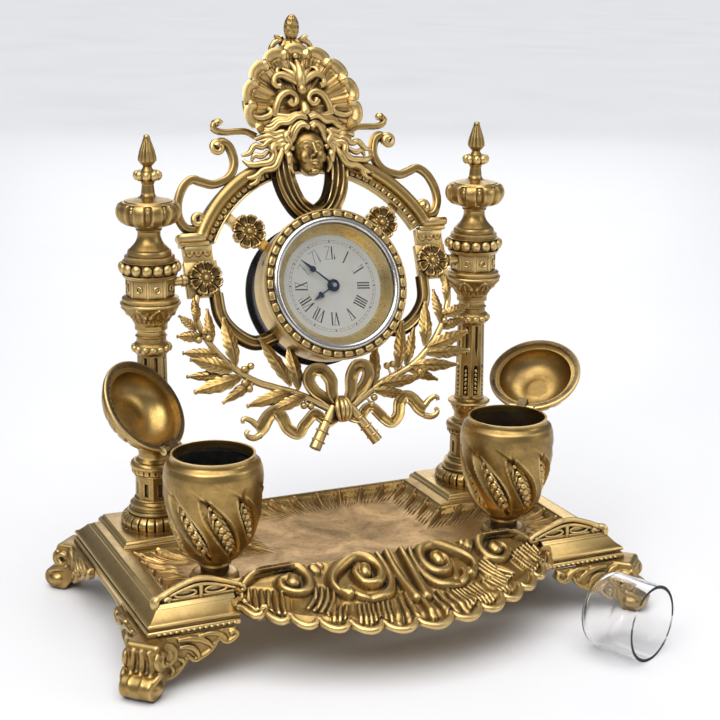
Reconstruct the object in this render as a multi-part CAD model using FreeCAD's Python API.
import FreeCAD
import Part
import math
import os

# Brass inkstand with a drum clock. Millimetres. X runs along the front, Y to the back, Z up.
# The table is Z = 0 and the columns stand on the line Y = 0 until the whole is moved to its origin.
# The clock frame is drawn upright, in its own plane, and is then leaned back about its pivots.

V = FreeCAD.Vector
X_AXIS, Y_AXIS, Z_AXIS = V(1, 0, 0), V(0, 1, 0), V(0, 0, 1)
ZERO = V(0, 0, 0)

# ---- tray -------------------------------------------------------------------------------------
BASE_HALF_WIDTH = 117.7
BASE_FRONT = 97.1          # from the column line to the front edge
BASE_BACK = 25.6           # from the column line to the back edge
FASCIA_BOTTOM = 23.7
FASCIA_HEIGHT = 3.7
SLOPE_RISE = 7.2           # from the top of the fascia to the rim
SLOPE_RUN = 7.5            # how far the side and front slopes lean in
BACK_SLOPE_RUN = 3.6
WALL = 3.0
FLOOR_THICKNESS = 3.0
FLOOR_TOP = 30.0
RIM_WIDTH = 6.3
BORDER_RUN = 7.0           # width of the sloping border inside the rim
RECESS_ARM_BACK = 24.0     # the side arms of the recess stop this far before the column line
RECESS_NECK_HALF = 57.0    # the recess between the two plinths
BLOCK_INNER_END = 76.6     # the front corner blocks end here, and the shell lip fills the gap
PLINTH_HALF = 22.4
PLINTH_TOP = 37.1
PLINTH_BEVEL = 1.6
CREST_BOW_RISE = 6.2       # small bowed cresting on each front corner block
CREST_BOW_LENGTH = 31.0
CREST_BOW_THICKNESS = 3.0
CREST_BOW_HOLE = (2.4, 11.2)      # each opening of the cresting, from its middle outwards
APRON_FRONT_END = 78.0
APRON_BACK_END = 6.0
APRON_DEPTH = 17.0
APRON_DROP = 9.0

# ---- shell lip --------------------------------------------------------------------------------
LIP_ROOT = 79.0
LIP_END_REACH = 95.5
LIP_BOW = 36.5             # how much further the lip reaches at its middle
LIP_RIM_END_HEIGHT = 31.5
LIP_RIM_FALL = 5.0         # how much lower the rim is in its middle than at its ends
LIP_CREST_HEIGHT = 37.0
LIP_CREST_RISE = 4.0
LIP_CREST_END = 80.0
LIP_CREST_BOW = 7.0
LIP_THICKNESS = 3.2
LIP_HOLLOW = 2.0           # how far the lip's face sags between its crest and its rim
LIP_LOBE_WIDTHS = (17.0, 15.0, 13.5, 12.0, 10.5, 9.0)  # scallops of the rim, from the middle one outwards
LIP_LOBE_R = 2.5
LIP_VOLUTE_R = 5.6
LIP_VOLUTE_BAR_R = 1.8
LIP_VOLUTE_EYE_R = 2.6
# each pair of scrolls: distance from the middle, share of the way from crest to rim, and lift
LIP_VOLUTES = ((49.5, 0.14, 0.0), (18.4, 0.2, 2.5))

# ---- feet -------------------------------------------------------------------------------------
TOE_REACH = 12.2
TOE_HALF_WIDTH = 5.5
FOOT_WING_LENGTH = 40.0
FOOT_WING_THICKNESS = 3.2
FOOT_BOSS_INSET = 13.0
FOOT_BOSS_R = 4.6
SCREW_R = 1.5
SCREW_HEAD_R = 3.0
SCREW_HEAD_HEIGHT = 1.6

# ---- columns ----------------------------------------------------------------------------------
COLUMN_X = 84.0
ROD_R = 1.6
ROD_CLEARANCE = 0.3
COLUMN_FOOT_HEIGHT = 33.4
COLUMN_SHAFT_HEIGHT = 61.2
COLUMN_HEAD_HEIGHT = 25.7
COLUMN_URN_HEIGHT = 37.6
COLUMN_FINIAL_HEIGHT = 26.8
GADROON_R = 16.2
SHAFT_R = 7.2
SHAFT_FLUTES = 8
FLUTE_R = 1.1
BEAD_COLLAR_R = 14.2
URN_R = 14.2
KNOP_R = 6.7
SPIKE_R = 4.2
PIVOT_FACE = 10.4          # from the column's axis to the flats of its eight-sided block
NUT_R = 3.6
NUT_HEIGHT = 3.0

# ---- inkwells ---------------------------------------------------------------------------------
POT_X = 74.2
POT_FORWARD = 57.1
POT_HEIGHT = 58.0
POT_R = 22.4
POT_RIM_R = 18.9
POT_BORE_R = 17.9
POT_LEDGE = 25.0           # the liner stands on a ledge this far above the tray
POT_FOOT_R = 10.7
POT_NECK_R = 6.3
LID_R = 22.8
LID_HEIGHT = 13.4
LID_WALL = 1.6
LID_GAP = 0.3
HINGE_OUT = 22.6           # hinge pin from the pot's axis
HINGE_DROP = 1.9           # hinge pin below the pot's rim
HINGE_BARREL_R = 1.7
HINGE_PIN_R = 0.8
HINGE_LENGTH = 12.0
HINGE_MIDDLE = 4.0
RUNNING = 0.05             # radial clearance of a running fit
LEFT_HINGE_ANGLE = 54.0    # hinge direction, turned back from straight outwards
RIGHT_HINGE_ANGLE = 42.0
LEFT_LID_OPEN = 127.0
RIGHT_LID_OPEN = 145.0
LINER_R = 17.4
LINER_WALL = 1.5
LINER_HEIGHT = 28.6
LOOSE_LINER_X = 88.75
LOOSE_LINER_Y = -141.95
LOOSE_LINER_TURN = 23.4    # degrees, from lying square to the front

# ---- clock frame ------------------------------------------------------------------------------
LEAN = 21.5                # degrees back from upright, at rest
PIVOT_Z = 154.0
PIVOT_FORWARD = 2.0
PIVOT_PIN_R = 1.5
LUG_R = 2.2
PIVOT_GAP = 0.3
PLATE_BACK = -2.5          # the frame casting's back and front faces, along its depth
PLATE_FRONT = 2.0
ARBOR_DROP = 9.9           # the clock's axis below the pivots
ARCH_OUTER_R = 68.3
ARCH_WIDTH = 10.5
ARCH_BEAD_WIDTH = 6.3
ARCH_BEAD_RISE = 3.2
ARCH_START = 27.0          # degrees above the horizontal
IMPOST_TOP = 21.3
IMPOST_BOTTOM = 15.8
SIDE_BLOCK_END = 67.6
SIDE_BLOCK_HALF = 8.6
ROSETTE_R = 8.5
ROSETTE_PETALS = 8
ROSETTE_THICKNESS = 3.0
SIDE_ROSETTE_X = 58.7
UPPER_ROSETTE_R = 45.9     # from the clock's axis
UPPER_ROSETTE_ANGLE = 41.5
SCROLL_WIDTH = 3.2
SHELL_R = 29.5
SHELL_LOBES = 9
BUD_TILT = 26.0            # the bud on top nods forward, towards upright
HEAD_HALF_WIDTH = 8.0
HEAD_HALF_HEIGHT = 11.5
LEAF_THICKNESS = 2.2
BERRY_R = 1.7

# ---- clock ------------------------------------------------------------------------------------
CLOCK_ROLL = 3.6           # degrees clockwise, seen from the front
DRUM_R = 34.6
DRUM_WALL = 1.6
DRUM_FRONT = 17.5
DRUM_BACK = -0.5
DRUM_RIM_R = 35.7
BEZEL_R = 32.0
BEZEL_WIDTH = 2.6
BEZEL_DEPTH = 3.4
GLASS_THICKNESS = 1.2
DIAL_FACE = 11.6
DIAL_THICKNESS = 0.6
DIAL_VISIBLE_R = 24.6
COVER_DEPTH = 13.0
COVER_RIM_R = 34.8
COVER_WALL = 1.2
PLATE_THICKNESS = 1.2
FRONT_PLATE = 8.0          # front face of the movement's front plate
BACK_PLATE = -8.4          # back face of its back plate
BACK_PLATE_R = 27.0
PILLAR_R = 1.8
PILLAR_CIRCLE = 22.5
ARBOR_R = 0.7
PIVOT_R = 0.45
WHEEL_THICKNESS = 0.8
CENTRE_ARBOR_R = 1.0
HAND_HOLE_R = 1.0
MINUTE_HAND_LENGTH = 20.0
HOUR_HAND_LENGTH = 12.6
MINUTE_TIME = 51.3
HOUR_TIME = 7 + MINUTE_TIME / 60

# ---- values worked out from the sizes above ---------------------------------------------------
EDGE_TOP = FASCIA_BOTTOM + FASCIA_HEIGHT
RIM_TOP = EDGE_TOP + SLOPE_RISE
FLOOR_BOTTOM = FLOOR_TOP - FLOOR_THICKNESS
RIM_HALF_WIDTH = BASE_HALF_WIDTH - SLOPE_RUN
RIM_FRONT = BASE_FRONT - SLOPE_RUN
RIM_BACK = BASE_BACK - BACK_SLOPE_RUN
RECESS_HALF_WIDTH = RIM_HALF_WIDTH - RIM_WIDTH
RECESS_FRONT = RIM_FRONT - RIM_WIDTH
RECESS_BACK = RIM_BACK - 4.5
POT_TOP = FLOOR_TOP + POT_HEIGHT
HINGE_Z = POT_TOP - HINGE_DROP
SHAFT_BOTTOM = PLINTH_TOP + COLUMN_FOOT_HEIGHT
HEAD_BOTTOM = SHAFT_BOTTOM + COLUMN_SHAFT_HEIGHT
URN_BOTTOM = HEAD_BOTTOM + COLUMN_HEAD_HEIGHT
FINIAL_BOTTOM = URN_BOTTOM + COLUMN_URN_HEIGHT
LUG_END = COLUMN_X - PIVOT_FACE - PIVOT_GAP
PIVOT_PIN_END = LUG_END + PIVOT_GAP + 5.6
ARBOR = V(0, 0, -ARBOR_DROP)
ARCH_INNER_R = ARCH_OUTER_R - ARCH_WIDTH
ARCH_TOP = ARCH_OUTER_R - ARBOR_DROP
SHELL_CENTRE = ARCH_TOP + 20.6
HEAD_CENTRE = ARCH_TOP - 1.9
DRUM_TOP = DRUM_R - ARBOR_DROP
DRUM_FOOT = -DRUM_R - ARBOR_DROP
LIP_END_LOBE = BLOCK_INNER_END + LIP_LOBE_WIDTHS[0] / 2 - sum(LIP_LOBE_WIDTHS)
COVER_BACK = DRUM_BACK - COVER_DEPTH
HAND_PLANE = DIAL_FACE + 1.2

# ---- drawing helpers --------------------------------------------------------------------------


def on_xz(a, b):
    """A point of the upright plane."""
    return V(a, 0, b)


def on_xy(a, b):
    """A point of the level plane."""
    return V(a, b, 0)


def on_yz(a, b):
    """A point of the side plane."""
    return V(0, a, b)


def face(points, place=on_xz):
    """A face inside a closed outline.

    A pair (a, b) is reached by a straight line, and four numbers (ma, mb, a, b) by an arc through (ma, mb).
    """
    edges = []
    last = place(*points[0][-2:])
    for point in points[1:] + points[:1]:
        end = place(*point[-2:])
        if (end - last).Length > 1e-6:
            if len(point) == 4:
                edges.append(Part.Arc(last, place(*point[:2]), end).toShape())
            else:
                edges.append(Part.LineSegment(last, end).toShape())
        last = end
    return Part.Face(Part.Wire(edges))


def turned(points):
    """A solid of revolution about Z from an outline in radius and height."""
    return face(points).revolve(ZERO, Z_AXIS, 360)


def box(x0, x1, y0, y1, z0, z1):
    """A box between two corners."""
    return Part.makeBox(x1 - x0, y1 - y0, z1 - z0, V(x0, y0, z0))


def rod(radius, start, end):
    """A round bar from one point to another."""
    return Part.makeCylinder(radius, (end - start).Length, start, end - start)


def joined(shapes):
    """One solid from several that meet."""
    shapes = list(shapes)
    return shapes[0].multiFuse(shapes[1:]).removeSplitter()


def moved(shape, offset):
    """A copy of a shape, moved."""
    copy = shape.copy()
    copy.translate(offset)
    return copy


def turned_by(shape, centre, axis, degrees):
    """A copy of a shape, turned about an axis."""
    copy = shape.copy()
    copy.rotate(centre, axis, degrees)
    return copy


def other_side(shape):
    """The mirror image of a shape across the middle of the inkstand."""
    return shape.mirror(ZERO, X_AXIS)


def upright_plate(points, back, front):
    """An outline in the frame's plane, as thick as from its back to its front depth."""
    return moved(face(points), V(0, -back, 0)).extrude(V(0, back - front, 0))


def smooth_line(points):
    """A smooth curve through points."""
    curve = Part.BSplineCurve()
    curve.interpolate(points)
    return curve


def ribbon(path, widths, back, front, place=on_xz, steps=3):
    """A flat band that follows a smooth line through path, its width going evenly from first to last."""
    line = smooth_line([place(*point) for point in path])
    normal = place(1, 0).cross(place(0, 1))
    count = steps * len(path)
    first, last = line.FirstParameter, line.LastParameter
    left, right = [], []
    for i in range(count + 1):
        share = i / count
        at = first + (last - first) * share
        half = (widths[0] + (widths[1] - widths[0]) * share) / 2
        side = normal.cross(line.tangent(at)[0]).normalize() * half
        left.append(line.value(at) + side)
        right.append(line.value(at) - side)
    edges = [smooth_line(left).toShape(), Part.LineSegment(left[-1], right[-1]).toShape(),
             smooth_line(right[::-1]).toShape(), Part.LineSegment(right[0], left[0]).toShape()]
    band = Part.Face(Part.Wire(edges))
    return moved(band, normal * back).extrude(normal * (front - back))


def ball_end(radius, z, top):
    """The point that closes an outline with a ball-shaped end, from (radius, z) to the axis at top."""
    centre = (top ** 2 - z ** 2 - radius ** 2) / (2 * (top - z))
    ball = top - centre
    half = math.atan2(radius, z - centre) / 2
    return (ball * math.sin(half), centre + ball * math.cos(half), 0, top)


def lobed_outline(count, outer, waist, centre=(0, 0), start=0.0, sweep=360.0):
    """Points of an outline of round lobes, from one waist to the next, about a centre."""
    points = []
    for i in range(count + 1):
        here = math.radians(start + sweep * i / count)
        corner = (centre[0] + waist * math.cos(here), centre[1] + waist * math.sin(here))
        if points:
            middle = math.radians(start + sweep * (i - 0.5) / count)
            tip = (centre[0] + outer * math.cos(middle), centre[1] + outer * math.sin(middle))
            points.append(tip + corner)
        else:
            points.append(corner)
    return points


# ---- tray -------------------------------------------------------------------------------------


def side_sign(side):
    """-1 on the left and +1 on the right."""
    return -1 if side == "left" else 1


def ring_wire(half_width, front, back, z):
    """A level rectangle, as a wire."""
    corners = [V(-half_width, -front, z), V(half_width, -front, z), V(half_width, back, z),
               V(-half_width, back, z)]
    return Part.makePolygon(corners + corners[:1])


def recess_wire(inset, z):
    """The T-shaped outline of the recess, drawn in by an inset."""
    wide, neck = RECESS_HALF_WIDTH - inset, RECESS_NECK_HALF - inset
    front, arm, back = -RECESS_FRONT + inset, -RECESS_ARM_BACK - inset, RECESS_BACK - inset
    right = [V(wide, front, z), V(wide, arm, z), V(neck, arm, z), V(neck, back, z)]
    left = [V(-p.x, p.y, z) for p in reversed(right)]
    return Part.makePolygon(right + left + right[:1])


def tray_plinth(sign):
    """The square plinth under a column, with a bevelled top edge."""
    x = sign * COLUMN_X
    block = box(x - PLINTH_HALF, x + PLINTH_HALF, -PLINTH_HALF, PLINTH_HALF, FLOOR_BOTTOM, PLINTH_TOP)
    top_edges = [e for e in block.Edges if e.BoundBox.ZMin > PLINTH_TOP - 0.01]
    return block.makeChamfer(PLINTH_BEVEL, top_edges)


def corner_cresting(sign):
    """The bowed cresting that stands on a front corner block."""
    middle = sign * (BLOCK_INNER_END + RIM_HALF_WIDTH - 4.0) / 2
    half = CREST_BOW_LENGTH / 2
    low = RIM_TOP - 0.5
    bow = face([(middle - half, low), (middle - half, RIM_TOP + 0.8),
                (middle, RIM_TOP + CREST_BOW_RISE, middle + half, RIM_TOP + 0.8), (middle + half, low)])
    near, far = CREST_BOW_HOLE
    height = RIM_TOP + 0.36 * CREST_BOW_RISE
    for way in (-1, 1):
        centre = middle + way * (near + far) / 2
        bow = bow.cut(face([(middle + way * near, height), (centre, height + 1.3, middle + way * far,
                                                            height),
                            (centre, height - 1.1, middle + way * near, height)]))
    back = -(RIM_FRONT - 1.6 - CREST_BOW_THICKNESS)
    return moved(bow, V(0, back, 0)).extrude(V(0, -CREST_BOW_THICKNESS, 0))


def side_apron(sign):
    """The arched apron under the tray's side edge, with its small pointed drop."""
    front, back = -APRON_FRONT_END, APRON_BACK_END
    low = FASCIA_BOTTOM - APRON_DEPTH
    arch_top = FASCIA_BOTTOM - 2.2
    arch = face([(front, FASCIA_BOTTOM), (front, low), (front + 4.0, low),
                 (front + 12.0, FASCIA_BOTTOM - 6.5, front + 32.0, arch_top),
                 (back - 12.0, arch_top), (back - 4.0, arch_top - 0.8, back - 1.0,
                                           FASCIA_BOTTOM - APRON_DROP),
                 (back, FASCIA_BOTTOM - APRON_DROP + 3.0), (back, FASCIA_BOTTOM)], on_yz)
    x = sign * BASE_HALF_WIDTH
    return moved(arch, V(x, 0, 0)).extrude(V(-sign * WALL, 0, 0))


def lip_face(x):
    """The crest, the hollow and the rim of the lip's face at a distance from the middle."""
    share = 1 - (x / BLOCK_INNER_END) ** 2
    reach = LIP_END_REACH + LIP_BOW * share ** 0.85
    low = LIP_RIM_END_HEIGHT - LIP_RIM_FALL * share
    crest = LIP_CREST_END + LIP_CREST_BOW * share
    top = LIP_CREST_HEIGHT + LIP_CREST_RISE * share
    hollow = V(x, -(crest + reach) / 2 - LIP_HOLLOW, (top + low) / 2 - LIP_HOLLOW)
    return V(x, -crest, top), hollow, V(x, -reach, low)


def lip_point(x, share):
    """A point of the lip's face, at a share of the way from its crest to its rim."""
    crest, hollow, rim = lip_face(x)
    if share < 0.5:
        return crest + (hollow - crest) * (2 * share)
    return hollow + (rim - hollow) * (2 * share - 1)


def lip_section(x):
    """The lip's cross-section at a distance from the middle, as a wire."""
    crest, hollow, rim = lip_face(x)
    thick = LIP_THICKNESS
    corners = [V(x, -LIP_ROOT + 3.0, FLOOR_TOP), crest + V(0, 3.0, -3.0), crest, crest + V(0, -4.0, -2.0),
               hollow, rim,
               rim + V(0, 1.0, -thick), hollow + V(0, LIP_HOLLOW + 0.5, -1.6 * thick),
               V(x, -LIP_ROOT - 1.0, FLOOR_BOTTOM), V(x, -LIP_ROOT + 3.0, FLOOR_BOTTOM)]
    return Part.makePolygon(corners + corners[:1])


def cone(radius, start, end_radius, end):
    """A round bar that tapers from one point to another."""
    return Part.makeCone(radius, end_radius, (end - start).Length, start, end - start)


def lip_lobe(inner, outer):
    """One scallop of the lip: a flute that widens down to a rounded piece of the rim."""
    middle = (inner + outer) / 2
    sunk = V(0, 0.6, -1.2)
    edge = rod(LIP_LOBE_R, lip_point(inner + 0.7, 1) + sunk, lip_point(outer - 0.7, 1) + sunk)
    return [edge, cone(0.9, lip_point(0.9 * middle, 0.5), LIP_LOBE_R, lip_point(middle, 0.98) + sunk)]


def lip_volute(x, share, lift):
    """A scroll on the lip's face, as a ring round an eye."""
    crest, hollow, rim = lip_face(x)
    centre = lip_point(x, share) + V(0, 0, lift)
    ring = Part.makeTorus(LIP_VOLUTE_R, LIP_VOLUTE_BAR_R, centre, X_AXIS.cross(rim - crest))
    return [ring, Part.makeSphere(LIP_VOLUTE_EYE_R, centre)]


def lip_husk():
    """The husk in the middle of the lip: two long leaves with a drop between them."""
    leaves = [cone(2.2, lip_point(x, 0.06), 1.3, lip_point(0.8 * x, 0.78)) for x in (-3.6, 3.6)]
    return leaves + [cone(0.8, lip_point(0, 0.2), 2.0, lip_point(0, 0.82))]


def lip_relief():
    """The carving of the lip: scallops, four scrolls and the husk between them."""
    half = LIP_LOBE_WIDTHS[0] / 2
    shapes = lip_lobe(-half, half) + lip_husk()
    inner = half
    for width in LIP_LOBE_WIDTHS[1:] + (LIP_END_LOBE,):
        outer = inner + width
        shapes += lip_lobe(inner, outer) + lip_lobe(-outer, -inner)
        inner = outer
    for x, share, lift in LIP_VOLUTES:
        shapes += lip_volute(x, share, lift) + lip_volute(-x, share, lift)
    return shapes


def shell_lip():
    """The shell-shaped lip that bows out between the two front corner blocks."""
    stations = [share * BLOCK_INNER_END for share in (-0.999, -0.86, -0.6, -0.3, 0.0, 0.3, 0.6, 0.86, 0.999)]
    sheet = Part.makeLoft([lip_section(x) for x in stations], True, False)
    return joined([sheet] + lip_relief())


def base_tray():
    """The cast tray: moulded edge, sunk floor, two plinths, aprons and the shell lip."""
    skirt = box(-BASE_HALF_WIDTH, BASE_HALF_WIDTH, -BASE_FRONT, BASE_BACK, FASCIA_BOTTOM, EDGE_TOP)
    slope = Part.makeLoft([ring_wire(BASE_HALF_WIDTH, BASE_FRONT, BASE_BACK, EDGE_TOP),
                           ring_wire(RIM_HALF_WIDTH, RIM_FRONT, RIM_BACK, RIM_TOP)], True, True)
    body = skirt.fuse(slope)
    body = body.cut(box(-BASE_HALF_WIDTH + WALL, BASE_HALF_WIDTH - WALL, -BASE_FRONT + WALL,
                        BASE_BACK - WALL,
                        0, FLOOR_BOTTOM))
    body = body.cut(Part.makeLoft([recess_wire(BORDER_RUN, FLOOR_TOP), recess_wire(0, RIM_TOP)], True, True))
    body = body.cut(box(-BLOCK_INNER_END, BLOCK_INNER_END, -BASE_FRONT - 1, -LIP_ROOT, 0, RIM_TOP + 1))
    parts = [body, shell_lip()]
    for sign in (-1, 1):
        parts += [tray_plinth(sign), corner_cresting(sign), side_apron(sign)]
    tray = joined(parts)
    for sign in (-1, 1):
        column, pot = V(sign * COLUMN_X, 0, 0), V(sign * POT_X, -POT_FORWARD, 0)
        tray = tray.cut(rod(ROD_R + ROD_CLEARANCE, column, column + V(0, 0, PLINTH_TOP + 1)))
        tray = tray.cut(rod(SCREW_R, pot, pot + V(0, 0, FLOOR_TOP + 1)))
        for y in (-BASE_FRONT + FOOT_BOSS_INSET, BASE_BACK - FOOT_BOSS_INSET):
            boss = V(sign * (BASE_HALF_WIDTH - FOOT_BOSS_INSET), y, 0)
            tray = tray.cut(rod(SCREW_R, boss, boss + V(0, 0, FLOOR_BOTTOM + 2.4)))
    return tray


# ---- feet -------------------------------------------------------------------------------------


def foot_wing():
    """One scalloped wing of a foot, in the upright plane, running inwards from the corner at X = 0."""
    top, out = FASCIA_BOTTOM, FOOT_WING_THICKNESS
    end = -FOOT_WING_LENGTH
    return [(out, top), (out, 6.0), (-4.0, 4.5), (-12.0, 6.5, -17.0, 13.0), (-19.5, 11.0), (-22.5, 12.0),
            (-27.0, 14.5, -30.5, 20.0), (-34.0, 16.8, -37.5, 18.0), (end, 20.5, end + 1.5, top)]


def foot():
    """A bracket foot for the front right corner, with the tray's corner at X = 0, Y = 0."""
    top, half, reach = FASCIA_BOTTOM, TOE_HALF_WIDTH, TOE_REACH
    toe = face([(-9.0, top), (5.0, top), (6.4, 20.5), (4.6, 15.0, 6.0, 10.5),
                (reach + 0.4, 8.0, reach - 0.5, 2.2),
                (reach - 3.0, 0.0), (2.0, 0.0), (-2.2, 5.2, -9.0, 8.0)])
    toe = moved(toe, V(0, half, 0)).extrude(V(0, -2 * half, 0))
    toe = turned_by(toe, ZERO, Z_AXIS, -45)
    front = face(foot_wing()).extrude(V(0, -FOOT_WING_THICKNESS, 0))
    side = turned_by(face(foot_wing()), ZERO, Z_AXIS, -90)
    side = side.extrude(V(FOOT_WING_THICKNESS, 0, 0))
    inset = FOOT_BOSS_INSET
    centre = V(-inset, inset, 0)
    web = turned_by(box(-inset * math.sqrt(2), 0, -2.6, 2.6, 13.0, top), ZERO, Z_AXIS, -45)
    boss = rod(FOOT_BOSS_R, centre + V(0, 0, 12.0), centre + V(0, 0, FLOOR_BOTTOM))
    bracket = joined([toe, front, side, web, boss])
    return bracket.cut(rod(SCREW_R, centre, centre + V(0, 0, FLOOR_BOTTOM)))


def placed_foot(side, back):
    """A foot at one of the four corners."""
    bracket = foot()
    corner = V(BASE_HALF_WIDTH, BASE_BACK if back else -BASE_FRONT, 0)
    if back:
        bracket = bracket.mirror(ZERO, Y_AXIS)
    bracket = moved(bracket, corner)
    return other_side(bracket) if side == "left" else bracket


def screw(point, length):
    """A screw driven upwards, its head's seat at the point."""
    head = rod(SCREW_HEAD_R, point - V(0, 0, SCREW_HEAD_HEIGHT), point)
    return joined([head, rod(SCREW_R, point, point + V(0, 0, length))])


def base_screws():
    """Four screws hold the feet to the tray, and two hold the inkpots."""
    screws = []
    for sign in (-1, 1):
        for y in (-BASE_FRONT + FOOT_BOSS_INSET, BASE_BACK - FOOT_BOSS_INSET):
            boss = V(sign * (BASE_HALF_WIDTH - FOOT_BOSS_INSET), y, 12.0)
            screws.append(screw(boss, FLOOR_BOTTOM + 2.4 - boss.z))
        screws.append(screw(V(sign * POT_X, -POT_FORWARD, FLOOR_BOTTOM), FLOOR_THICKNESS + 6.0))
    return Part.makeCompound(screws)


# ---- columns ----------------------------------------------------------------------------------


def at_column(shape, side):
    """A column piece on its own side."""
    return moved(shape, V(side_sign(side) * COLUMN_X, 0, 0))


def rod_hole(bottom, top):
    """The passage for the tie rod between two heights."""
    return rod(ROD_R + ROD_CLEARANCE, V(0, 0, bottom - 1), V(0, 0, top + 1))


def column_foot(side):
    """Gadroon ring, mouldings and the lower drum of a column."""
    z = PLINTH_TOP
    top = z + COLUMN_FOOT_HEIGHT
    ring = GADROON_R
    body = turned([(0, z), (ring, z), (ring, z + 1.2), (ring - 0.3, z + 4.8, ring - 2.8, z + 6.5),
                   (ring - 3.5, z + 6.5), (ring - 3.5, z + 8.3), (ring - 4.7,
                                                                  z + 9.5), (ring - 4.7, z + 11.1),
                   (ring - 5.6, z + 12.3), (ring - 6.6, z + 13.1), (ring - 6.9,
                                                                    z + 13.9), (ring - 7.1, z + 25.7),
                   (ring - 6.6, z + 26.1), (ring - 5.3, z + 26.5), (ring - 5.3, z + 28.5),
                   (ring - 5.6, z + 30.6, ring - 7.6, z + 31.9), (ring - 8.8, top), (0, top)])
    return at_column(body.cut(rod_hole(z, top)), side)


def column_shaft(side):
    """The fluted shaft with its middle ring and upper bead ring."""
    z, r = SHAFT_BOTTOM, SHAFT_R
    top = z + COLUMN_SHAFT_HEIGHT
    body = turned([(0, z), (r + 0.2, z), (r + 0.2, z + 2.5), (r + 1.4, z + 5.1), (r + 2.2, z + 6.7),
                   (r + 3.4, z + 8.4, r + 2.2, z + 9.9), (r + 0.3, z + 10.5), (r + 0.1, z + 13.5),
                   (r - 0.4, z + 50.1), (r + 1.0, z + 51.1), (r + 2.4, z + 53.1, r + 1.0, z + 55.1),
                   (r - 0.3, z + 55.7), (r - 0.3, z + 58.1), (r + 0.3, z + 58.7), (r - 0.6, z + 59.5),
                   (r - 0.7, top), (0, top)])
    flute = rod(FLUTE_R, V(r + 0.5, 0, z + 14.5), V(r + 0.2, 0, z + 48.5))
    for i in range(SHAFT_FLUTES):
        body = body.cut(turned_by(flute, ZERO, Z_AXIS, 360 * (i + 0.5) / SHAFT_FLUTES))
    return at_column(body.cut(rod_hole(z, top)), side)


def column_head(side):
    """The leaf cup and the eight-sided block that carries a frame pivot."""
    z = HEAD_BOTTOM
    top = z + COLUMN_HEAD_HEIGHT
    block_bottom, block_top = z + 16.5, top - 0.9
    cup = turned([(0, z), (6.5, z), (7.6, z + 0.7), (7.5, z + 2.6), (8.4, z + 4.9), (9.4, z + 6.5),
                  (12.4, z + 7.6), (13.8, z + 9.9, 13.2, z + 12.3), (13.2, z + 13.5), (12.7, z + 15.9),
                  (11.4, block_bottom), (0, block_bottom)])
    corner_r = PIVOT_FACE / math.cos(math.pi / 8)
    corners = [V(corner_r * math.cos(math.pi * (i + 0.5) / 4), corner_r * math.sin(math.pi * (i + 0.5) / 4),
                 block_bottom) for i in range(8)]
    block = Part.Face(Part.makePolygon(corners + corners[:1])).extrude(V(0, 0, block_top - block_bottom))
    cap = turned([(0, block_top), (12.0, block_top), (12.4, top), (0, top)])
    sign = side_sign(side)
    bore_start = V(-sign * (PIVOT_FACE + 1), -PIVOT_FORWARD, PIVOT_Z)
    bore_end = V(-sign * (COLUMN_X - PIVOT_PIN_END - 0.2), -PIVOT_FORWARD, PIVOT_Z)
    head = joined([cup, block, cap]).cut(rod_hole(z, top))
    return at_column(head.cut(rod(PIVOT_PIN_R + RUNNING, bore_start, bore_end)), side)


def column_urn(side):
    """The beaded collar, the neck and the lobed urn."""
    z, collar, urn = URN_BOTTOM, BEAD_COLLAR_R, URN_R
    top = z + COLUMN_URN_HEIGHT
    body = turned([(0, z), (collar - 1.9, z), (collar - 1.2, z + 1.1),
                   (collar, z + 4.2, collar - 1.2, z + 6.9),
                   (collar - 2.6, z + 7.3), (collar - 2.6, z + 9.4), (collar - 4.3, z + 9.8),
                   (collar - 4.3, z + 12.0), (collar - 5.2, z + 12.4), (collar - 6.8, z + 14.2),
                   (collar - 8.7, z + 17.6, collar - 8.9, z + 20.6), (collar - 8.4, z + 21.8),
                   (collar - 6.0, z + 23.6), (urn, z + 29.6, urn - 1.6, z + 33.6), (urn - 3.0, z + 34.4),
                   (urn - 6.2, z + 35.2), (3.6, top - 0.8), (3.2, top), (0, top)])
    return at_column(body.cut(rod_hole(z, top)), side)


def column_finial(side):
    """The knop and spike, screwed onto the tie rod."""
    z = FINIAL_BOTTOM
    top = z + COLUMN_FINIAL_HEIGHT
    body = turned([(0, z), (3.2, z), (2.9, z + 2.4), (3.0, z + 4.6), (3.6, z + 5.6),
                   (KNOP_R, z + 8.4, 3.4, z + 11.2),
                   (1.9, z + 12.4), (2.8, z + 13.4), (SPIKE_R, z + 15.0), (SPIKE_R - 0.1, z + 16.4),
                   (1.3, top - 1.2), ball_end(1.3, top - 1.2, top)])
    return at_column(body.cut(rod(ROD_R, V(0, 0, z - 1), V(0, 0, z + 9.0))), side)


def column_tie_rods():
    """A threaded rod through each column, from a nut under the tray into the finial."""
    pieces = []
    for sign in (-1, 1):
        foot_point = V(sign * COLUMN_X, 0, FLOOR_BOTTOM - NUT_HEIGHT - 2.0)
        tie = rod(ROD_R, foot_point, V(foot_point.x, 0, FINIAL_BOTTOM + 9.0))
        corners = [V(foot_point.x + NUT_R * math.cos(math.pi * i / 3), NUT_R * math.sin(math.pi * i / 3),
                     FLOOR_BOTTOM - NUT_HEIGHT) for i in range(6)]
        nut = Part.Face(Part.makePolygon(corners + corners[:1])).extrude(V(0, 0, NUT_HEIGHT))
        pieces += [tie, nut.cut(tie)]
    return Part.makeCompound(pieces)


# ---- inkwells ---------------------------------------------------------------------------------


def hinge_angle(side):
    """The level direction from a pot's axis to its hinge, in degrees from +X."""
    return RIGHT_HINGE_ANGLE if side == "right" else 180 - LEFT_HINGE_ANGLE


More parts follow.
